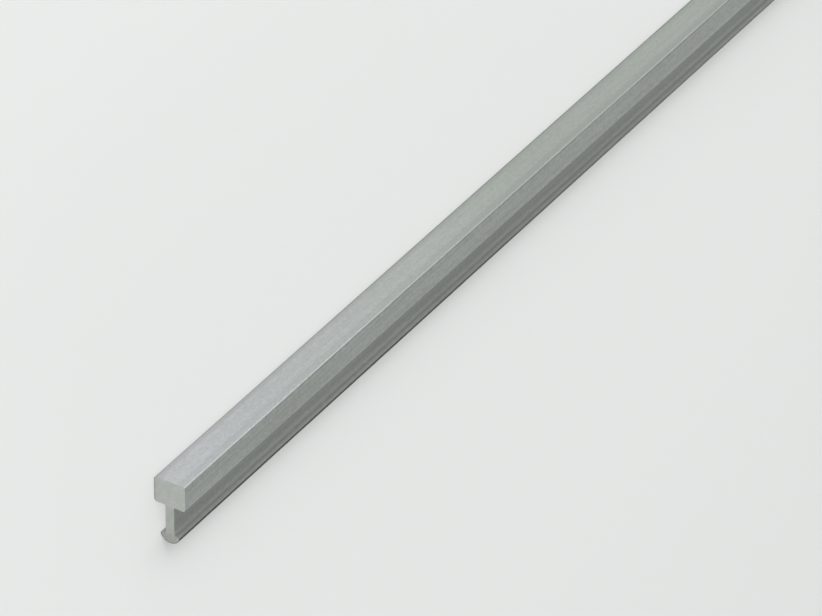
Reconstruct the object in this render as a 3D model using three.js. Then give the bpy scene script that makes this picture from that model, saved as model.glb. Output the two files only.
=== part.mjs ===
// Anchor profile: a straight bar of extruded aluminium with one section all along it.
//
// The section is a plain rectangular head, a thin web under it and a half-round foot whose two
// small lips stand out past the web, so that the foot can hook behind the edges of a slot.
// The foot is too round for the bar to stand on, so it lies on its side, as it is stored.
//
// Millimetres. X runs along the bar and Z is up. The bar lies with its head towards -Y and its
// foot towards +Y. The origin is under the middle of the bar, on the surface that it lies on.

import * as THREE from 'three';

// Bar
const BAR_LENGTH = 1000;

// Head
const HEAD_WIDTH = 6.0;
const HEAD_HEIGHT = 4.9;
const HEAD_CORNER_RADIUS = 0.5;

// Web, the wall between head and foot
const WEB_THICKNESS = 1.7;
const WEB_HEIGHT = 5.5; // from where the lips' tops meet it to the head's underside
const WEB_FILLET_RADIUS = 0.2;

// Foot, a half-round bead whose rim forms the two lips
const FOOT_RADIUS = 1.95;
const LIP_ROOT_HEIGHT = 1.84; // from the foot's lowest point to where the lips' tops meet the web
const LIP_FALL_DEGREES = 20; // how steeply the lips' tops fall outwards
const LIP_EDGE_RADIUS = 0.12;

// Mill finish, as it leaves the die
const ALUMINIUM = { color: 0xb4b9b4, roughness: 0.42, metalness: 1.0 };

// Every arc of the section is drawn with twice this many straight steps.
const HALF_STEPS_PER_ARC = 8;

// The section is drawn upright: x is the distance from its middle line, and y is the height
// above the foot's lowest point. It is the same left and right of the middle line.
const SHOULDER_HEIGHT = LIP_ROOT_HEIGHT + WEB_HEIGHT; // the head's underside
const TOP_HEIGHT = SHOULDER_HEIGHT + HEAD_HEIGHT;
const HALF_WEB = WEB_THICKNESS / 2;
const LIP_FALL = THREE.MathUtils.degToRad(LIP_FALL_DEGREES);
const FOOT_CENTRE = new THREE.Vector2(0, FOOT_RADIUS);
const HEAD_CORNER_X = HEAD_WIDTH / 2 - HEAD_CORNER_RADIUS;
const LOWER_HEAD_CORNER = new THREE.Vector2(HEAD_CORNER_X, SHOULDER_HEIGHT + HEAD_CORNER_RADIUS);
const UPPER_HEAD_CORNER = new THREE.Vector2(HEAD_CORNER_X, TOP_HEIGHT - HEAD_CORNER_RADIUS);
const LIP_EDGE = lipEdgeCentre();

// Centre of the small circle that rounds the lip's edge. The circle touches the lip's sloping
// top from below and the foot's circle from inside, so its centre lies one edge radius in from
// both. Rise and run are measured from the foot's centre, square to the slope and along it.
function lipEdgeCentre() {
  const alongSlope = new THREE.Vector2(Math.cos(LIP_FALL), -Math.sin(LIP_FALL));
  const squareToSlope = new THREE.Vector2(Math.sin(LIP_FALL), Math.cos(LIP_FALL));
  const lipRoot = new THREE.Vector2(HALF_WEB, LIP_ROOT_HEIGHT);
  const rise = lipRoot.sub(FOOT_CENTRE).dot(squareToSlope) - LIP_EDGE_RADIUS;
  const run = Math.sqrt((FOOT_RADIUS - LIP_EDGE_RADIUS) ** 2 - rise ** 2);
  return FOOT_CENTRE.clone()
    .addScaledVector(squareToSlope, rise)
    .addScaledVector(alongSlope, run);
}

// Right half of the section, from the foot's lowest point round to the middle of the top.
function halfOutline() {
  const right = 0;
  const up = Math.PI / 2;
  const left = Math.PI;
  const down = -Math.PI / 2;
  const squareToLip = up - LIP_FALL;
  const rim = Math.atan2(LIP_EDGE.y - FOOT_CENTRE.y, LIP_EDGE.x - FOOT_CENTRE.x);

  // Fillets in the two inner corners beside the web. The lower one touches the sloping lip.
  const filletX = HALF_WEB + WEB_FILLET_RADIUS;
  const filletRise = WEB_FILLET_RADIUS * (1 - Math.sin(LIP_FALL)) / Math.cos(LIP_FALL);
  const lowerFilletY = LIP_ROOT_HEIGHT + filletRise;
  const upperFilletY = SHOULDER_HEIGHT - WEB_FILLET_RADIUS;

  const outline = new THREE.Path();
  outline.moveTo(0, 0);
  outline.absarc(FOOT_CENTRE.x, FOOT_CENTRE.y, FOOT_RADIUS, down, rim, false);
  outline.absarc(LIP_EDGE.x, LIP_EDGE.y, LIP_EDGE_RADIUS, rim, squareToLip, false);
  outline.absarc(filletX, lowerFilletY, WEB_FILLET_RADIUS, squareToLip - left, -left, true);
  outline.absarc(filletX, upperFilletY, WEB_FILLET_RADIUS, left, up, true);
  outline.absarc(LOWER_HEAD_CORNER.x, LOWER_HEAD_CORNER.y, HEAD_CORNER_RADIUS, down, right, false);
  outline.absarc(UPPER_HEAD_CORNER.x, UPPER_HEAD_CORNER.y, HEAD_CORNER_RADIUS, right, up, false);
  outline.lineTo(0, TOP_HEIGHT);
  return outline;
}

// The whole section: the right half and its mirror image. Where the top and the foot cross the
// middle line, the top needs no point of its own and the foot keeps one.
function sectionShape() {
  const rightSide = halfOutline().getPoints(HALF_STEPS_PER_ARC).slice(0, -1);
  const leftSide = rightSide.slice(1).map((point) => new THREE.Vector2(-point.x, point.y));
  return new THREE.Shape([...rightSide, ...leftSide.reverse()]);
}

// The bar, standing on its foot: the section pushed along its length. The extrusion runs along
// its own Z, so the mesh is turned to bring that along X, the section's width along Y and its
// height up.
function profileBar() {
  const geometry = new THREE.ExtrudeGeometry(sectionShape(), {
    depth: BAR_LENGTH,
    steps: 1,
    bevelEnabled: false,
  });
  const bar = new THREE.Mesh(geometry, new THREE.MeshStandardMaterial(ALUMINIUM));
  bar.name = 'profile_bar';
  bar.rotation.set(Math.PI / 2, Math.PI / 2, 0);
  bar.position.x = -BAR_LENGTH / 2;
  return bar;
}

// How far the upright bar turns about X until it lies on its side. It then touches the floor
// along two lines, one on the head's lower corner and one on the lip's edge, so the floor is
// the straight line that touches both of those rounded corners from outside.
function layingTurn() {
  const reach = LOWER_HEAD_CORNER.clone().sub(LIP_EDGE);
  const spread = Math.atan2(reach.x, reach.y);
  const roundingStep = HEAD_CORNER_RADIUS - LIP_EDGE_RADIUS;
  const floorLean = spread + Math.asin(roundingStep / reach.length());
  return Math.PI / 2 - floorLean;
}

// The bar turned on its side, set down on the floor and centred over the origin.
const anchorProfile = new THREE.Group();
anchorProfile.add(profileBar());
anchorProfile.rotation.x = layingTurn();

const turnedBox = new THREE.Box3().setFromObject(anchorProfile, true);
anchorProfile.position.y = -(turnedBox.min.y + turnedBox.max.y) / 2;
anchorProfile.position.z = -turnedBox.min.z;

export default anchorProfile;
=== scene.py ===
# %% [markdown]
# # An extruded aluminium bar on a pale bench
#
# The object is one piece of raw stock: a straight aluminium bar that was pressed through a die,
# so it has the same section from end to end, and was then sawn to length. The section has a
# rectangular head, a thin web and a half-round foot with two small lips.
#
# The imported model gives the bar's size and place. Everything below is drawn around it, in
# metres: X along the bar, Z up, the head towards -Y and the foot towards +Y.

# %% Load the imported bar
from math import asin, atan2, cos, pi, radians, sin, sqrt

import bpy
from mathutils import Euler, Matrix, Vector


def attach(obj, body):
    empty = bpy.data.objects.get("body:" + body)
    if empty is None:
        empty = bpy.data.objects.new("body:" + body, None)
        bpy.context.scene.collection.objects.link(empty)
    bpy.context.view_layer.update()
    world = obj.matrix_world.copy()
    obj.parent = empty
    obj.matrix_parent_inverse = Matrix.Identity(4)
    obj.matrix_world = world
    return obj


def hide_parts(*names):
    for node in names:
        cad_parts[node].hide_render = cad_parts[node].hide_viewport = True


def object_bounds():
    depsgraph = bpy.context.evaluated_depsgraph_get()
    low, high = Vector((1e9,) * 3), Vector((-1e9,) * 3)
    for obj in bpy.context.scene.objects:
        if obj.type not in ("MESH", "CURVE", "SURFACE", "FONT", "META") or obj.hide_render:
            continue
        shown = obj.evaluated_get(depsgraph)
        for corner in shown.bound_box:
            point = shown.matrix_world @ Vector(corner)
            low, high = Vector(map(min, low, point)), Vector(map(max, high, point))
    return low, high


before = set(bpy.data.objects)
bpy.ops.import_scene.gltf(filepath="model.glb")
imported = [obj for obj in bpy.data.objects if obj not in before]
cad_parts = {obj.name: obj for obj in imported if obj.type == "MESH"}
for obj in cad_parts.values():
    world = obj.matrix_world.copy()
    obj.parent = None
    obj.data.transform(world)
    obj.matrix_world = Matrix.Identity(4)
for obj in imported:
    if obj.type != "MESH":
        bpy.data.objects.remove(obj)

cad_low, cad_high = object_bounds()
cad_size = cad_high - cad_low
print("the packed bar measures", [round(1000 * side, 2) for side in cad_size], "mm")

# %% [markdown]
# ## The section's sizes
#
# A die is drawn as straight runs joined by arcs, so a few sizes describe it all. They are the
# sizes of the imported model, in millimetres, and one factor turns them into Blender's metres.

# %% Sizes of the section
MM = 0.001

HEAD_WIDTH = 6.0 * MM
HEAD_HEIGHT = 4.9 * MM
HEAD_CORNER_RADIUS = 0.5 * MM
WEB_THICKNESS = 1.7 * MM
WEB_HEIGHT = 5.5 * MM
WEB_FILLET_RADIUS = 0.2 * MM
FOOT_RADIUS = 1.95 * MM
LIP_ROOT_HEIGHT = 1.84 * MM
LIP_FALL = radians(20)
LIP_EDGE_RADIUS = 0.12 * MM

BAR_LENGTH = cad_size.x
SHOULDER_HEIGHT = LIP_ROOT_HEIGHT + WEB_HEIGHT
TOP_HEIGHT = SHOULDER_HEIGHT + HEAD_HEIGHT
print("the section is", round(TOP_HEIGHT / MM, 2), "mm high and", HEAD_WIDTH / MM, "mm wide")

# %% [markdown]
# ## Where the arcs sit
#
# The section is drawn upright, as a set of arcs: x is the distance from the middle line and y
# the height above the foot's lowest point. Only the lip's edge needs some geometry. Its small
# circle touches the lip's sloping top from below and the foot's circle from inside, so its
# centre lies one edge radius in from both.

# %% Centres of the arcs
FOOT_CENTRE = Vector((0, FOOT_RADIUS))
HEAD_CORNER_X = HEAD_WIDTH / 2 - HEAD_CORNER_RADIUS
LOWER_HEAD_CORNER = Vector((HEAD_CORNER_X, SHOULDER_HEIGHT + HEAD_CORNER_RADIUS))
UPPER_HEAD_CORNER = Vector((HEAD_CORNER_X, TOP_HEIGHT - HEAD_CORNER_RADIUS))


def lip_edge_centre():
    """The centre of the arc that rounds the lip's edge."""
    along_slope = Vector((cos(LIP_FALL), -sin(LIP_FALL)))
    square_to_slope = Vector((sin(LIP_FALL), cos(LIP_FALL)))
    lip_root = Vector((WEB_THICKNESS / 2, LIP_ROOT_HEIGHT))
    rise = (lip_root - FOOT_CENTRE).dot(square_to_slope) - LIP_EDGE_RADIUS
    run = sqrt((FOOT_RADIUS - LIP_EDGE_RADIUS) ** 2 - rise**2)
    return FOOT_CENTRE + rise * square_to_slope + run * along_slope


LIP_EDGE = lip_edge_centre()
print("the lips reach", round((LIP_EDGE.x + LIP_EDGE_RADIUS) / MM, 3), "mm from the middle")

# %% [markdown]
# ## The outline of the section
#
# The outline could be a curve with handles, but points on true arcs keep the exact shape of the
# die. Each point also carries the direction that looks out of the metal there, which the sweep
# uses later to draw the outline a little smaller at the sawn ends. Two extra points on every
# straight run, close to its arcs, keep the flats flat when the surface is shaded smooth.

# %% Draw half the outline and mirror it
SUPPORT_STEP = 0.03 * MM


def arc(centre, radius, start, end, steps, hollow=False):
    """Points from start to end on an arc, each with the direction out of the metal."""
    points = []
    for step in range(steps + 1):
        angle = start + (end - start) * step / steps
        ray = Vector((cos(angle), sin(angle)))
        points.append((centre + radius * ray, -ray if hollow else ray))
    return points


def joined(arcs):
    """The arcs one after another, with two support points on each straight run between them."""
    points = list(arcs[0])
    for following in arcs[1:]:
        (last, outward), (first, _) = points[-1], following[0]
        run = first - last
        if run.length > 3 * SUPPORT_STEP:
            support = SUPPORT_STEP * run.normalized()
            points += [(last + support, outward), (first - support, outward)]
            points += following
        else:
            points += following[1:]
    return points


def half_outline():
    """The right half of the section, from under the foot round to the middle of the top."""
    square_to_lip = pi / 2 - LIP_FALL
    rim = atan2(LIP_EDGE.y - FOOT_CENTRE.y, LIP_EDGE.x - FOOT_CENTRE.x)
    fillet_x = WEB_THICKNESS / 2 + WEB_FILLET_RADIUS
    fillet_rise = WEB_FILLET_RADIUS * (1 - sin(LIP_FALL)) / cos(LIP_FALL)
    lower_fillet = Vector((fillet_x, LIP_ROOT_HEIGHT + fillet_rise))
    upper_fillet = Vector((fillet_x, SHOULDER_HEIGHT - WEB_FILLET_RADIUS))
    middle_of_top = [(Vector((0, TOP_HEIGHT)), Vector((0, 1)))]
    return joined([
        arc(FOOT_CENTRE, FOOT_RADIUS, -pi / 2, rim, steps=28),
        arc(LIP_EDGE, LIP_EDGE_RADIUS, rim, square_to_lip, steps=8),
        arc(lower_fillet, WEB_FILLET_RADIUS, square_to_lip - pi, -pi, steps=8, hollow=True),
        arc(upper_fillet, WEB_FILLET_RADIUS, pi, pi / 2, steps=8, hollow=True),
        arc(LOWER_HEAD_CORNER, HEAD_CORNER_RADIUS, -pi / 2, 0, steps=14),
        arc(UPPER_HEAD_CORNER, HEAD_CORNER_RADIUS, 0, pi / 2, steps=14),
        middle_of_top,
    ])


def whole_outline():
    """The section's outline, closed: the right half, then its mirror image coming back down."""
    right = half_outline()
    flip = Matrix.Diagonal((-1, 1))
    left = [(flip @ point, flip @ outward) for point, outward in reversed(right[1:-1])]
    return right + left


outline = whole_outline()
print("the outline has", len(outline), "points")

# %% [markdown]
# ## The outline as a Blender object
#
# Geometry Nodes reads the outline as a loop of edges. The directions out of the metal travel
# with it as a named attribute on its points.

# %% Make the outline's mesh
def outline_object():
    """A loop of edges in the XY plane, with the attribute outward on its points."""
    count = len(outline)
    mesh = bpy.data.meshes.new("die_outline")
    corners = [(point.x, point.y, 0) for point, _ in outline]
    mesh.from_pydata(corners, [(i, (i + 1) % count) for i in range(count)], [])
    outward = mesh.attributes.new("outward", "FLOAT_VECTOR", "POINT")
    for item, (_, direction) in zip(outward.data, outline):
        item.vector = (direction.x, direction.y, 0)
    obj = bpy.data.objects.new("profile_bar_mill_finish", mesh)
    bpy.context.scene.collection.objects.link(obj)
    return obj


bar = outline_object()
print("outline object:", bar.name)

# %% [markdown]
# ## How the bar lies
#
# The foot is round, so the bar rolls over and comes to rest on its side. It then touches the
# bench along two lines: the head's lower corner and the lip's edge. The bench is the straight
# line that touches both of those rounded corners from outside, and its slope tells how far the
# upright bar has turned.

# %% The turn that lays the bar down
def laying_turn():
    """How far the upright bar turns about X until it lies on its side."""
    reach = LOWER_HEAD_CORNER - LIP_EDGE
    rounding_step = HEAD_CORNER_RADIUS - LIP_EDGE_RADIUS
    floor_lean = atan2(reach.x, reach.y) + asin(rounding_step / reach.length)
    return pi / 2 - floor_lean


LAYING_TURN = laying_turn()
LAID = Matrix.Rotation(LAYING_TURN, 3, "X")
laid_points = [LAID @ Vector((0, point.x, point.y)) for point, _ in outline]
laid_low = Vector((0, min(p.y for p in laid_points), min(p.z for p in laid_points)))
laid_high = Vector((0, max(p.y for p in laid_points), 0))
LAID_OFFSET = Vector((0, -(laid_low.y + laid_high.y) / 2, -laid_low.z))
print("the bar is turned by", round(LAYING_TURN * 180 / pi, 2), "degrees")

# %% [markdown]
# ## Nodes written as Python
#
# Node trees are easier to read as expressions. One small class wraps a socket, so that writing
# `a * 2 + b` adds the Math nodes, and one method adds any other node from its type, its
# settings and its inputs.

# %% A socket wrapper and a graph
def find(sockets, key):
    """A socket by its identifier, its name or its number."""
    return next((s for s in sockets if s.identifier == key), None) or sockets[key]


class Value:
    """An output socket that can be used in sums; [name] gives another output of its node."""

    def __init__(self, graph, socket):
        self.graph = graph
        self.socket = socket

    def __getitem__(self, name):
        return Value(self.graph, find(self.socket.node.outputs, name))

    def math(self, operation, *others):
        return self.graph.math(operation, self, *others)

    def __abs__(self):
        return self.math("ABSOLUTE")

    def __add__(self, other):
        return self.math("ADD", other)

    def __sub__(self, other):
        return self.math("SUBTRACT", other)

    def __mul__(self, other):
        return self.math("MULTIPLY", other)

    def __truediv__(self, other):
        return self.math("DIVIDE", other)

    def __radd__(self, other):
        return self.graph.math("ADD", other, self)

    def __rsub__(self, other):
        return self.graph.math("SUBTRACT", other, self)

    def __rmul__(self, other):
        return self.graph.math("MULTIPLY", other, self)

    def __rtruediv__(self, other):
        return self.graph.math("DIVIDE", other, self)


class Graph:
    """A node tree that is filled from Python."""

    def __init__(self, tree):
        self.tree = tree

    def node(self, kind, settings=None, inputs=None):
        """Adds a node. Settings are set first, then each input is given a value or a link."""
        node = self.tree.nodes.new(kind)
        for name, setting in (settings or {}).items():
            setattr(node, name, setting)
        for key, given in (inputs or {}).items():
            socket = find(node.inputs, key)
            if isinstance(given, Value):
                self.tree.links.new(given.socket, socket)
            else:
                socket.default_value = given
        return Value(self, node.outputs[0]) if node.outputs else node

    def math(self, operation, *operands):
        """A Math node on values and numbers."""
        return self.node("ShaderNodeMath", {"operation": operation}, dict(enumerate(operands)))


print("node helpers are ready")

# %% [markdown]
# ## The sweep: one section along one line
#
# A press pushes the same section out of the die for the whole length, so the bar follows a rule
# and Geometry Nodes can make it: a straight path, the outline swept along it, and caps on both
# ends. An array or an extrude would give the long sides too, but not the cut ends. A sawn edge
# is never quite sharp, so the tree places a few close stations at each end and draws the section
# in a little there, which rounds the edge. A trace of noise on those stations is the burr.

# %% Sizes of the sweep
BREAK_RADIUS = 0.06 * MM
BREAK_STEPS = 5
CAP_MARGIN = 0.05 * MM
BURR_HEIGHT = 0.035 * MM
BURR_SCALE = 1500.0
BURR_MIDDLE = 0.42
BURR_SEED = 7.0
LENGTH_STEPS = 48
CAP_FACING = 0.6
print("the sawn edge is broken by", round(BREAK_RADIUS / MM, 3), "mm")


# %% Make the tree and its named inputs
sweep_tree = bpy.data.node_groups.new("extrude_and_saw", "GeometryNodeTree")
sweep = Graph(sweep_tree)


def tree_input(name, kind):
    """A named input on the tree."""
    return sweep_tree.interface.new_socket(name, in_out="INPUT", socket_type=kind)


tree_input("Outline", "NodeSocketGeometry")
SWEEP_INPUTS = {
    "Length": ("NodeSocketFloat", BAR_LENGTH),
    "Length steps": ("NodeSocketInt", LENGTH_STEPS),
    "Edge break": ("NodeSocketFloat", BREAK_RADIUS),
    "Edge steps": ("NodeSocketInt", BREAK_STEPS),
    "Cap margin": ("NodeSocketFloat", CAP_MARGIN),
    "Burr height": ("NodeSocketFloat", BURR_HEIGHT),
    "Burr seed": ("NodeSocketFloat", BURR_SEED),
    "Laying turn": ("NodeSocketVector", (LAYING_TURN, 0, 0)),
    "Laid place": ("NodeSocketVector", LAID_OFFSET),
    "Side finish": ("NodeSocketMaterial", None),
    "End finish": ("NodeSocketMaterial", None),
}
for input_name, (kind, _) in SWEEP_INPUTS.items():
    tree_input(input_name, kind)
sweep_tree.interface.new_socket("Bar", in_out="OUTPUT", socket_type="NodeSocketGeometry")
given = sweep.node("NodeGroupInput")
print("the tree takes", len(SWEEP_INPUTS), "named inputs")

# %% [markdown]
# ## Stations along the bar
#
# The path's points are numbered from one end to the other. `rank` counts from the nearer end, so
# one formula serves both. Rank 0 is the rim of the flat cap. From rank 1 on, the angle climbs
# from 0 to 90 degrees round the broken edge, and then the stations spread evenly along the bar.

# %% Place the stations and note how far the section draws in
station = sweep.node("GeometryNodeInputIndex")
last_station = given["Length steps"] + 2 * given["Edge steps"] + 2
rank = station.math("MINIMUM", last_station - station)
quarter = (rank - 1) / given["Edge steps"]
quarter = quarter.math("MAXIMUM", 0).math("MINIMUM", 1) * (pi / 2)
travel = (station - given["Edge steps"] - 1) / given["Length steps"]
travel = travel.math("MAXIMUM", 0).math("MINIMUM", 1)
which_end = (station - last_station / 2).math("SIGN")

straight_part = (travel - 0.5) * (given["Length"] - 2 * given["Edge break"])
station_x = straight_part + which_end * given["Edge break"] * quarter.math("COSINE")
on_cap = rank.math("LESS_THAN", 0.5)
draw_in = given["Edge break"] * (1 - quarter.math("SINE")) + on_cap * given["Cap margin"]

path = sweep.node("GeometryNodeCurvePrimitiveLine", None, {"End": (1, 0, 0)})
path = sweep.node("GeometryNodeResampleCurve", None, {"Curve": path, "Count": last_station + 1})
path = sweep.node("GeometryNodeSetPosition", None, {
    "Geometry": path,
    "Position": sweep.node("ShaderNodeCombineXYZ", None, {"X": station_x}),
})


def keep_on_points(geometry, name, value):
    """Stores a number on every point, under a name, for later steps."""
    return sweep.node("GeometryNodeStoreNamedAttribute", {"data_type": "FLOAT"}, {
        "Geometry": geometry, "Name": name, "Value": value,
    })


path = sweep.node("GeometryNodeSetCurveTilt", None, {"Curve": path, "Tilt": pi})
path = keep_on_points(path, "draw_in", draw_in)
path = keep_on_points(path, "edge", (quarter * 2).math("SINE"))
path = keep_on_points(path, "which_end", which_end)
print("stations are placed by", len(sweep_tree.nodes), "nodes so far")

# %% [markdown]
# ## Sweep, break the edges, lay it down
#
# Curve to Mesh carries the numbers of both curves onto the new mesh. Each point can then move
# against its own outward direction by its station's amount. Last, the whole bar turns onto its
# side, gets smooth shading and its two finishes: one for the long sides, one for the sawn ends.

# %% Finish the tree
def named(name, kind="FLOAT"):
    """A stored number or direction, read back by its name."""
    return sweep.node("GeometryNodeInputNamedAttribute", {"data_type": kind}, {"Name": name})


section = sweep.node("GeometryNodeMeshToCurve", None, {"Mesh": given["Outline"]})
bar_mesh = sweep.node("GeometryNodeCurveToMesh", None, {
    "Curve": path, "Profile Curve": section, "Fill Caps": True,
})
outward = sweep.node("ShaderNodeSeparateXYZ", None, {0: named("outward", "FLOAT_VECTOR")})
burr_noise = sweep.node("ShaderNodeTexNoise", {"noise_dimensions": "4D"}, {
    "Vector": sweep.node("GeometryNodeInputPosition"),
    "W": given["Burr seed"],
    "Scale": BURR_SCALE,
    "Detail": 1.0,
})
burr = (burr_noise - BURR_MIDDLE) * named("edge") * given["Burr height"] * 2
slide = burr - named("draw_in")
bar_mesh = sweep.node("GeometryNodeSetPosition", None, {
    "Geometry": bar_mesh,
    "Offset": sweep.node("ShaderNodeCombineXYZ", None, {
        "X": burr * named("which_end") * 0.5,
        "Y": slide * outward["X"],
        "Z": slide * outward["Y"],
    }),
})
bar_mesh = sweep.node("GeometryNodeTransform", None, {
    "Geometry": bar_mesh,
    "Rotation": given["Laying turn"],
    "Translation": given["Laid place"],
})
bar_mesh = sweep.node("GeometryNodeSetShadeSmooth", None, {"Geometry": bar_mesh})
bar_mesh = sweep.node("GeometryNodeRealizeInstances", None, {"Geometry": bar_mesh})
bar_mesh = sweep.node("GeometryNodeSetMaterial", None, {
    "Geometry": bar_mesh, "Material": given["Side finish"],
})
facing = sweep.node("ShaderNodeSeparateXYZ", None, {0: sweep.node("GeometryNodeInputNormal")})
cut_face = abs(facing["X"]).math("GREATER_THAN", CAP_FACING)
bar_mesh = sweep.node("GeometryNodeSetMaterial", None, {
    "Geometry": bar_mesh, "Selection": cut_face, "Material": given["End finish"],
})
sweep.node("NodeGroupOutput", None, {"Bar": bar_mesh})
print("the sweep tree has", len(sweep_tree.nodes), "nodes")

# %% [markdown]
# ## A finish starts from the place on the bar
#
# Both finishes are worked out from the place of a point on the bar, in millimetres, so every
# size in them can be read off a ruler. Object coordinates give that place, and they stay fixed
# to the metal from every side.

# %% A metal with its own graph
def new_finish(name):
    """A metal material. Returns it, its shader and the place on the bar in millimetres."""
    material = bpy.data.materials.new(name)
    material.use_nodes = True
    material.node_tree.nodes.clear()
    graph = Graph(material.node_tree)
    shader = graph.node("ShaderNodeBsdfPrincipled", None, {"Metallic": 1.0})
    graph.node("ShaderNodeOutputMaterial", None, {"Surface": shader})
    place = graph.node("ShaderNodeVectorMath", {"operation": "SCALE"}, {
        "Vector": graph.node("ShaderNodeTexCoord")["Object"], "Scale": 1000.0,
    })
    return material, shader, place


def feed(shader, name, value):
    """Links a value to one of the shader's sockets."""
    shader.graph.tree.links.new(value.socket, find(shader.socket.node.inputs, name))


print("a finish can be started")

# %% Noise, soft steps and tints
def stretched_noise(place, across, along, detail):
    """Noise whose grains are that many millimetres across the bar and along it, from 0 to 1."""
    grain = place.graph.node("ShaderNodeMapping", {"vector_type": "TEXTURE"}, {
        "Vector": place, "Scale": (along, across, across),
    })
    return place.graph.node("ShaderNodeTexNoise", {"noise_dimensions": "3D"}, {
        "Vector": grain, "Scale": 1.0, "Detail": detail,
    })


def ramp(value, start, end):
    """0 at the start and before it, 1 at the end and past it, and a soft step between."""
    return value.graph.node("ShaderNodeMapRange", {"interpolation_type": "SMOOTHSTEP"}, {
        "Value": value, "From Min": start, "From Max": end,
    })


def length_of(step, rise):
    """The length of a slanting line, from how far it runs and how far it rises."""
    return (step * step + rise * rise).math("SQRT")


def tinted(amount, colour, tint):
    """The colour where the amount is 0 and the tint where it is 1."""
    return amount.graph.node("ShaderNodeMix", {"data_type": "RGBA"}, {
        "Factor_Float": amount, "A_Color": colour, "B_Color": tint,
    })["Result_Color"]


print("finish helpers are ready")

# %% [markdown]
# ## Mill finish on the long sides
#
# Metal straight from the press is neither polished nor painted. The die leaves fine lines that
# run the whole way, some a little deeper and some a little duller. The grey skin between them is
# mottled, and a thin bloom forms over it as the bar cools. The lines could be cut into the mesh,
# but they are a few hundredths of a millimetre wide, so noise stretched along X does it better:
# it tints the grey, shifts the roughness and bends the light through a Bump node.

# %% Lines, mottling and bloom
mill, mill_shader, mill_place = new_finish("mill_finish")
fine_lines = stretched_noise(mill_place, across=0.07, along=60, detail=2)
broad_lines = stretched_noise(mill_place, across=0.45, along=140, detail=2)
drag_marks = stretched_noise(mill_place, across=0.16, along=7, detail=1)
mottle = stretched_noise(mill_place, across=0.45, along=0.8, detail=3)
bloom = stretched_noise(mill_place, across=2.2, along=24, detail=3)
print("mill finish: three sets of lines, a mottling and a bloom")

# %% Scratches from handling
def scratches(place, spacing, length, width, lean):
    """Thin straight scratches, 1 on a scratch and 0 beside it, one in each cell of a lattice."""
    graph = place.graph
    cells = graph.node("ShaderNodeMapping", {"vector_type": "TEXTURE"}, {
        "Vector": place, "Rotation": (0, lean, 0), "Scale": (spacing, spacing, spacing),
    })
    middle = graph.node("ShaderNodeTexVoronoi", {"feature": "F1"}, {
        "Vector": cells, "Scale": 1.0, "Randomness": 1.0,
    })["Position"]
    offset = graph.node("ShaderNodeVectorMath", {"operation": "SUBTRACT"}, {0: cells, 1: middle})
    offset = graph.node("ShaderNodeSeparateXYZ", None, {0: offset})
    reach = ramp(abs(offset["X"]), length / spacing / 2, length / spacing / 4)
    return reach * ramp(abs(offset["Z"]), width / spacing, 0)


long_scratches = scratches(mill_place, spacing=9, length=7, width=0.03, lean=radians(4))
cross_scratches = scratches(mill_place, spacing=16, length=3, width=0.03, lean=radians(62))
scratched = long_scratches * 0.6 + cross_scratches
print("mill finish: two sets of scratches")

# %% [markdown]
# ## Places on the section
#
# Some parts of the colour follow the section and not the bench. The channels beside the web and
# the lips' roots are darkened with painted shade, the head's left upper edge has a painted dark
# line, and the round of the foot is painted nearly black under each lip as shade. The web's lower
# fillet has a painted highlight. All of this is painted, so it stays when the light changes, and
# it is the first thing to turn down for another light. The head's face is drawn darker near its
# two long edges.
#
# Two numbers say where a point is on the section, however the bar lies: how far across it is and
# how high above the foot's lowest point. Each mask is 1 on its own part and 0 elsewhere, and its
# numbers are millimetres, from where it starts to where it is full.

# %% Across and height
def along_direction(place, direction):
    """How far a place, in millimetres, lies along a direction of the upright section."""
    offset = place.graph.node("ShaderNodeVectorMath", {"operation": "SUBTRACT"}, {
        0: place, 1: LAID_OFFSET / MM,
    })
    return place.graph.node("ShaderNodeVectorMath", {"operation": "DOT_PRODUCT"}, {
        0: offset, 1: LAID @ Vector(direction),
    })["Value"]


ACROSS = (0, 1, 0)
UPWARDS = (0, 0, 1)
across = along_direction(mill_place, ACROSS)
height = along_direction(mill_place, UPWARDS)
along = mill_place.graph.node("ShaderNodeSeparateXYZ", None, {0: mill_place})["X"]
print("the finish knows its place on the section")

# %% Masks on the foot and the lips
SHOULDER = SHOULDER_HEIGHT / MM
TOP = TOP_HEIGHT / MM

foot_rise = height - FOOT_RADIUS / MM
from_foot_centre = length_of(across, foot_rise)
round_of_foot = ramp(height, 2.6, 2.2) * ramp(from_foot_centre, 1.76, 1.81)
flank = round_of_foot * ramp(foot_rise / from_foot_centre, -0.80, -0.50)
recess = ramp(height, SHOULDER + 0.5, SHOULDER + 0.1) * (1 - round_of_foot)
lip = recess * ramp(height, 2.0, 1.88)
lip_root = lip * ramp(abs(across) - WEB_THICKNESS / MM / 2, 0.6, 0.15)
print("masks: flank of the foot, recess, lip and the lip's root")

# %% Masks on the web and the head
web = ramp(height, SHOULDER, SHOULDER - 0.5)
web_foot = ramp(height, 3.5, 2.4) * ramp(height, 1.9, 2.2)
# Where the web's lower fillet gets its painted highlight.
painted_fillet_highlight = web * ramp(height, 2.7, 2.15) * ramp(height, 1.8, 1.95)
head_face = ramp(height, TOP - 0.4, TOP - 0.14)
left_margin = ramp(across, -1.4, -2.3)
right_margin = ramp(across, 1.0, 1.9)
left_edge = ramp(across, -2.4, -2.82) * ramp(height, TOP - 0.7, TOP - 0.3)
print("masks: web, its foot and fillet, the head's face, two margins and an edge")

# %% Masks along the bar
# These masks carry the painted fall-off of light along the bar, partly bloom, and thin the painted
# shade on the foot's flank.
away = ramp(along, 510, 380)
further = ramp(along, 340, 300)
thinner = ramp(along, 440, 310)
print("masks along the bar: its bloom changes away from the near end")

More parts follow.
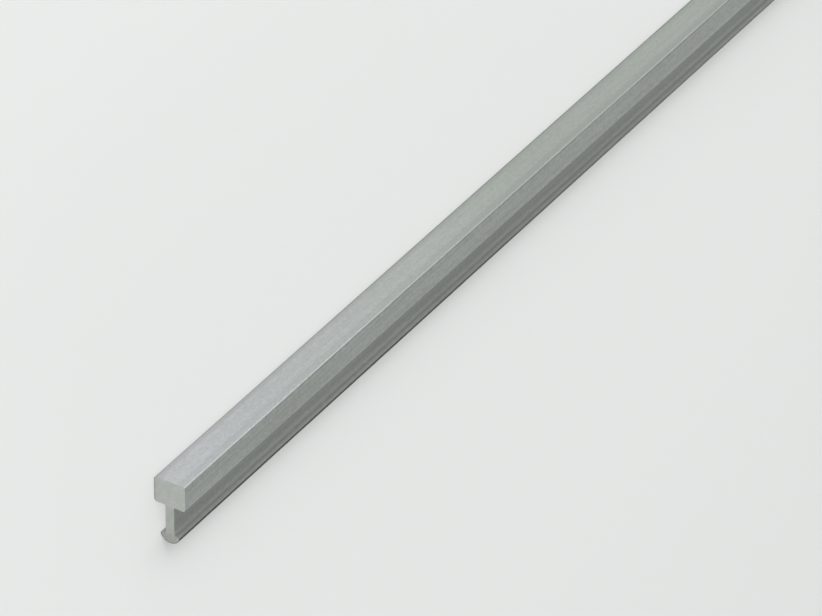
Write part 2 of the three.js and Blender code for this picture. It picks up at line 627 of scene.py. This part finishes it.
# %% Two marks from handling
def single_mark(x, y, lean, length, width):
    """One thin scratch across the head's face, centred at x along the bar and y across it."""
    step_x, step_y = along - x, across - y
    run = step_x * sin(lean) + step_y * cos(lean)
    aside = step_x * cos(lean) - step_y * sin(lean)
    return head_face * ramp(abs(run), length / 2, length / 3) * ramp(abs(aside), width, 0)


deep_mark = single_mark(442.3, 1.7, lean=radians(-33), length=1.8, width=0.16)
long_mark = single_mark(-118, -0.6, lean=0.9, length=2.6, width=0.12)
print("two single marks are placed")

# %% [markdown]
# ## Layers of grey
#
# The colour starts as a pale grey, varied by the lines and the mottling. Each layer then mixes
# in one more grey by its own mask: a bloom on the head's face, drawn thin at the near end and
# darker away from it, which is partly bloom and partly painted shade for the light falling off
# along the bar; painted shade on all but the head's face; a cool tint at the near end, part of the
# same painted change of light; a painted dark line on the head's left upper edge; the bright
# scratches; painted shade in the channels and on the lips; a painted highlight in the web's lower
# fillet; painted shade on the foot's flank; and the bright marks. A list of layers is easier to
# change than one long expression. The last layer lies on top.

# %% The greys
SKIN_DARK = (0.573, 0.594, 0.571, 1)
SKIN_PALE = (0.770, 0.798, 0.767, 1)
BLOOM_AND_SHADE_GREY = (0.377, 0.408, 0.370, 1)
COOL_GREY = (0.60, 0.60, 0.72, 1)
CHANNEL_SHADE_GREY = (0.34, 0.355, 0.345, 1)
SHADE_GREY = (0.20, 0.21, 0.20, 1)
FLANK_SHADE_GREY = (0.06, 0.063, 0.06, 1)
SCRATCH_AND_HIGHLIGHT_GREY = (0.80, 0.81, 0.80, 1)
MARK_GREY = (0.85, 0.87, 0.86, 1)
print("nine greys, from", FLANK_SHADE_GREY[1], "to", MARK_GREY[1])

# %% Colour of the long sides
# The head's face is darker away from the near end, partly bloom and partly painted shade for the
# light falling off along the bar, and darker near its two long edges.
left_margin_darkening = left_margin * (0.36 - 0.22 * away)
bloom_and_painted_falloff = 0.10 + 0.49 * away + 0.10 * further + left_margin_darkening + 0.16 * right_margin
grain = fine_lines * 0.2 + broad_lines * 0.2 + mottle * 0.42 + bloom * 0.24
mill_colour = tinted(ramp(grain, 0.38, 0.68), SKIN_DARK, SKIN_PALE)
LAYERS = [
    # Bloom on the head's face, partly painted shade: darker away from the near end and near both
    # long edges.
    (head_face * bloom_and_painted_falloff, BLOOM_AND_SHADE_GREY),
    # Painted shade: all but the head's face is a little darker.
    (0.15 * (1 - head_face), SHADE_GREY),
    # A cool tint on the head's face at the near end, part of the painted change of light along the
    # bar.
    (head_face * 0.3 * (1 - away), COOL_GREY),
    # Painted shade: a dark line along the head's left upper edge.
    (left_edge * (0.5 + 0.5 * away), SHADE_GREY),
    (scratched * 0.5, SCRATCH_AND_HIGHLIGHT_GREY),
    # Painted shade in the channels beside the web, lighter towards the web's foot.
    (recess * (0.82 - 0.41 * web - 0.35 * web_foot), CHANNEL_SHADE_GREY),
    # Painted shade on the lips, darkest at their roots.
    (lip * (0.06 + 0.42 * lip_root + 0.08 * away), SHADE_GREY),
    # Painted highlight in the web's lower fillet.
    (painted_fillet_highlight * 0.45, SCRATCH_AND_HIGHLIGHT_GREY),
    # Painted shade on the foot's flank under each lip, a little lighter away from the near end.
    (flank * (0.96 - 0.22 * thinner), FLANK_SHADE_GREY),
    ((deep_mark + long_mark) * 0.6, MARK_GREY),
]
for amount, grey in LAYERS:
    mill_colour = tinted(amount, mill_colour, grey)
print("the mill finish has", len(LAYERS), "layers of grey over its skin")

# %% Roughness and relief of the long sides
mill_roughness = 0.30 + 0.12 * bloom + 0.10 * drag_marks + 0.06 * broad_lines - 0.08 * scratched
mill_roughness = mill_roughness + 0.15 * recess + 0.4 * flank
mill_relief = fine_lines * 0.6 + broad_lines * 0.5 + drag_marks * 0.25 - scratched * 0.5
mill_bump = mill_place.graph.node("ShaderNodeBump", None, {
    "Strength": 0.25, "Distance": 0.02 * MM, "Height": mill_relief,
})
feed(mill_shader, "Base Color", mill_colour)
# The foot's flank is also less metallic, part of its painted shade.
feed(mill_shader, "Metallic", 1 - 0.7 * flank)
feed(mill_shader, "Roughness", mill_roughness)
feed(mill_shader, "Normal", mill_bump)
print("the mill finish has", len(mill.node_tree.nodes), "nodes")

# %% [markdown]
# ## The sawn ends
#
# A circular saw leaves shallow arcs, a tooth's feed apart, and smears the soft metal a little.
# The arcs are rings round the saw's centre, far outside the bar, so a sine of the distance from
# that point draws them, and noise bends them. A saw can tear soft metal where its teeth come out,
# so the cut is drawn rougher and darker round the foot and along the head's left side, and
# speckled on the foot. Which way this bar was sawn is a guess.

# %% Saw marks
SAW_CENTRE = (0, -70, 95)
TOOTH_FEED = 0.16

sawn, sawn_shader, sawn_place = new_finish("sawn_end")
from_saw = sawn_place.graph.node("ShaderNodeVectorMath", {"operation": "SUBTRACT"}, {
    0: sawn_place, 1: SAW_CENTRE,
})
from_saw = sawn_place.graph.node("ShaderNodeSeparateXYZ", None, {0: from_saw})
smear = stretched_noise(sawn_place, across=0.9, along=0.9, detail=4)
grit = stretched_noise(sawn_place, across=0.12, along=0.12, detail=2)
crumbs = stretched_noise(sawn_place, across=0.25, along=0.25, detail=1)
rings = length_of(from_saw["Y"], from_saw["Z"]) * (2 * pi / TOOTH_FEED) + smear * 5
rings = rings.math("SINE")
print("the saw leaves an arc every", TOOTH_FEED, "mm")

# %% Where the teeth leave the metal
cut_across = along_direction(sawn_place, ACROSS)
cut_height = along_direction(sawn_place, UPWARDS)
cut_radius = length_of(cut_across, cut_height - FOOT_RADIUS / MM)
cut_foot = ramp(cut_height, 2.3, 1.6)
cut_web = ramp(cut_height, 7.6, 6.6)
foot_rim = cut_foot * ramp(cut_radius, 1.60, 1.82)
left_rim = ramp(cut_across, -2.66, -2.86)
rough_exit = foot_rim.math("MAXIMUM", left_rim)
crumbled = cut_foot * ramp(crumbs, 0.42, 0.62)
print("the cut is rough round the foot and along the head's left side")

# %% Colour, roughness and relief of the sawn ends
SMEAR_DARK = (0.53, 0.551, 0.519, 1)
SMEAR_PALE = (0.636, 0.652, 0.62, 1)
CRUMBLED_GREY = (0.28, 0.29, 0.27, 1)
EXIT_GREY = (0.20, 0.21, 0.195, 1)

cut_grain = smear * 0.6 + grit * 0.25 + rings * 0.06
cut_colour = tinted(ramp(cut_grain, 0.25, 0.6), SMEAR_DARK, SMEAR_PALE)
cut_colour = tinted(cut_web * 0.12 + crumbled * 0.45, cut_colour, CRUMBLED_GREY)
cut_colour = tinted(rough_exit * 0.45, cut_colour, EXIT_GREY)
cut_relief = rings * 0.4 + smear * 1.5 + grit * 0.5 + crumbled * 0.8
cut_bump = sawn_place.graph.node("ShaderNodeBump", None, {
    "Strength": 0.5, "Distance": 0.02 * MM, "Height": cut_relief,
})
feed(sawn_shader, "Base Color", cut_colour)
feed(sawn_shader, "Roughness", 0.40 + 0.15 * smear + 0.05 * grit)
feed(sawn_shader, "Normal", cut_bump)
print("the sawn end has", len(sawn.node_tree.nodes), "nodes")

# %% [markdown]
# ## Make the bar
#
# The tree runs on the outline object as a modifier. Its inputs are set by their identifiers
# before anything is evaluated. The result is then kept as a plain mesh, and the modifier goes,
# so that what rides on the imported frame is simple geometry.

# %% Run the sweep and keep its mesh
modifier = bar.modifiers.new("Extrude and saw", "NODES")
modifier.node_group = sweep_tree
values = {name: value for name, (_, value) in SWEEP_INPUTS.items()}
values["Side finish"] = mill
values["End finish"] = sawn
for item in sweep_tree.interface.items_tree:
    if item.in_out == "INPUT" and item.name in values:
        modifier[item.identifier] = values[item.name]
bar.update_tag()

evaluated = bar.evaluated_get(bpy.context.evaluated_depsgraph_get())
swept = bpy.data.meshes.new_from_object(evaluated)
bar.modifiers.clear()
bar.data = swept
swept.name = "profile_bar_mill_finish"
for name in ("outward", "draw_in", "edge", "which_end"):
    if name in swept.attributes:
        swept.attributes.remove(swept.attributes[name])
print("the bar has", len(swept.vertices), "points and", len(swept.polygons), "faces")

# %% Check that the bar faces outwards
def enclosed_volume(mesh):
    """The volume inside a closed mesh, which is negative when its faces point inwards."""
    mesh.calc_loop_triangles()
    spots = [vertex.co for vertex in mesh.vertices]
    total = 0.0
    for triangle in mesh.loop_triangles:
        a, b, c = (spots[i] for i in triangle.vertices)
        total += a.dot(b.cross(c)) / 6
    return total


volume = enclosed_volume(swept)
if volume < 0:
    swept.flip_normals()
print("it holds", round(abs(volume) * 1e6, 3), "cubic centimetres of metal")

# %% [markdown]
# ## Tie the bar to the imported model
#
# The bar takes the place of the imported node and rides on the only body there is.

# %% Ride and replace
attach(bar, "root")
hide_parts("profile_bar")
print(bar.name, "stands for the packed bar")

# %% [markdown]
# ## The bench
#
# A plain pale sheet with a trace of green, so large that its edge is never near. It carries the
# bar's soft shadow. Lamps light a bench unevenly, so the board mixes a matt surface with an even
# glow of the same colour, which only camera, glossy and transmission rays see. Near the bar the
# matt surface rules and takes the shadow. On the head's side the glow is stronger: it is painted
# light that lifts the bar's shade off the bench there. The glow is also stronger beside the bar's
# far half, and further away, where it keeps the sheet even.

# %% The pale board
PALE = (0.785, 0.796, 0.789, 1)
NEAR_GLOW = 0.10
FAR_GLOW = 0.95
HEAD_SIDE_PAINTED_LIGHT = 0.60
FAR_HALF_GLOW = 0.40


def pale_board():
    """A matt pale board, with an even glow of its own colour that grows away from the bar."""
    material = bpy.data.materials.new("pale_board")
    material.use_nodes = True
    material.node_tree.nodes.clear()
    graph = Graph(material.node_tree)
    matt = graph.node("ShaderNodeBsdfDiffuse", None, {"Color": PALE})
    even = graph.node("ShaderNodeEmission", None, {"Color": PALE, "Strength": 1.0})
    spot = graph.node("ShaderNodeTexCoord")["Object"]
    spot = graph.node("ShaderNodeSeparateXYZ", None, {0: spot})
    past_end = (abs(spot["X"]) - BAR_LENGTH / 2).math("MAXIMUM", 0)
    far = ramp(length_of(past_end, spot["Y"]), 0.10, 0.60)
    far_half = ramp(spot["X"], 0.2, -0.3)
    # Painted light: a stronger glow on the head's side lifts the bar's shade off the bench.
    head_side = ramp(spot["Y"], 0.007, 0.004) * ramp(spot["Y"], -0.10, -0.02)
    head_side = head_side * ramp(past_end, 0.05, 0)
    near_glow = NEAR_GLOW + HEAD_SIDE_PAINTED_LIGHT * head_side * (1 - far_half)
    near_glow = near_glow + FAR_HALF_GLOW * far_half
    glow = near_glow + (FAR_GLOW - near_glow) * far
    ray = graph.node("ShaderNodeLightPath")
    seen = ray["Is Camera Ray"].math("MAXIMUM", ray["Is Glossy Ray"])
    seen = seen.math("MAXIMUM", ray["Is Transmission Ray"])
    board = graph.node("ShaderNodeMixShader", None, {"Fac": seen * glow, 1: matt, 2: even})
    graph.node("ShaderNodeOutputMaterial", None, {"Surface": board})
    return material


print("the board is ready")

# %% Floor
BENCH_SIDE = 60


def pale_floor():
    """A flat square sheet at the level the bar lies on."""
    half = BENCH_SIDE / 2
    mesh = bpy.data.meshes.new("bench_top")
    corners = [(-half, -half, 0), (half, -half, 0), (half, half, 0), (-half, half, 0)]
    mesh.from_pydata(corners, [], [(0, 1, 2, 3)])
    mesh.materials.append(pale_board())
    obj = bpy.data.objects.new("bench_top", mesh)
    bpy.context.scene.collection.objects.link(obj)
    return obj


pale_floor()
print("the bench is", BENCH_SIDE, "m square")

# %% [markdown]
# ## Light
#
# Two wide soft boxes on the head's side do most of the work, so the head shades the web and the
# shadow falls behind the foot. From some sides they would show in the metal as plain white, so
# reflections leave them out. Two small boxes, one aimed at each end, do show there, and they draw
# the bright line along the head's upper edge. All four stand back, so the light stays soft.

# %% Soft boxes
NEAR_END = (BAR_LENGTH / 2, 0, 0)
FAR_END = (-BAR_LENGTH / 2, 0, 0)


def soft_box(name, place, target, width, height, power):
    """A flat lamp at a place, facing a target. Its width is level with the bench."""
    light = bpy.data.lights.new(name, "AREA")
    light.shape = "RECTANGLE"
    light.size = width
    light.size_y = height
    light.energy = power
    obj = bpy.data.objects.new(name, light)
    bpy.context.scene.collection.objects.link(obj)
    aim = Vector(target) - Vector(place)
    obj.matrix_world = Matrix.Translation(place) @ aim.to_track_quat("-Z", "Y").to_matrix().to_4x4()
    return obj


main_box = soft_box("main_box", (2.88, -1.26, 1.82), NEAR_END, 3.0, 3.6, power=68.2)
low_box = soft_box("low_box", (0.64, -3.08, 1.40), NEAR_END, 5.2, 2.2, power=71.5)
main_box.visible_glossy = False
low_box.visible_glossy = False
soft_box("near_edge_box", (-0.45, -0.75, 0.70), NEAR_END, 0.7, 0.7, power=2.0)
soft_box("far_edge_box", (0.45, -0.75, 0.70), FAR_END, 0.7, 0.7, power=2.0)
print("four soft boxes")

# %% [markdown]
# ## The surround
#
# Metal shows what is round it. The surround is as pale as the bench at the horizon, like the
# walls of a bright room, and a darker grey overhead, which is what the bar's upper side shows.

# %% World
OVERHEAD_GREY = (0.40, 0.41, 0.40, 1)

world = bpy.data.worlds.new("pale_room")
world.use_nodes = True
world.node_tree.nodes.clear()
room = Graph(world.node_tree)
direction = room.node("ShaderNodeTexCoord")["Generated"]
direction = room.node("ShaderNodeSeparateXYZ", None, {0: direction})
wall_to_ceiling = tinted(ramp(direction["Z"], 0.10, 0.30), PALE, OVERHEAD_GREY)
background = room.node("ShaderNodeBackground", None, {"Color": wall_to_ceiling, "Strength": 1.0})
room.node("ShaderNodeOutputWorld", None, {"Surface": background})
bpy.context.scene.world = world
print("the room is pale at the horizon and grey overhead")

# %% [markdown]
# ## Camera
#
# The camera stands about 0.85 m from the near end and looks down along the bar with a long
# lens. Its place is easiest to give for the upright bar, standing on its foot, and it is then
# laid over with the bar by the same turn.

# %% Place the camera
CAMERA_PLACE = Vector((1.05705, 0.38405, 0.51893))
CAMERA_HEADING = radians(90 + 31.3666)
CAMERA_DOWN = radians(34.9382)
CAMERA_ROLL = radians(1.11)
CAMERA_LENS = 231.86
SENSOR_WIDTH = 36
NEAREST_SEEN = 0.01

camera_data = bpy.data.cameras.new("long_lens")
camera_data.lens = CAMERA_LENS
camera_data.sensor_width = SENSOR_WIDTH
camera_data.clip_start = NEAREST_SEEN
camera = bpy.data.objects.new("long_lens", camera_data)
bpy.context.scene.collection.objects.link(camera)
upright_look = Euler((pi / 2 - CAMERA_DOWN, 0, CAMERA_HEADING)).to_matrix()
upright_look = upright_look @ Matrix.Rotation(CAMERA_ROLL, 3, "Z")
laid_look = (LAID @ upright_look).to_4x4()
camera.matrix_world = Matrix.Translation(LAID @ CAMERA_PLACE + LAID_OFFSET) @ laid_look
bpy.context.scene.camera = camera
bpy.context.scene.view_settings.view_transform = "Standard"
print("the camera is at", [round(c, 4) for c in camera.matrix_world.translation])
print("it looks along", [round(-c, 4) for c in camera.matrix_world.to_3x3().col[2]])
print("its up is", [round(c, 4) for c in camera.matrix_world.to_3x3().col[1]])
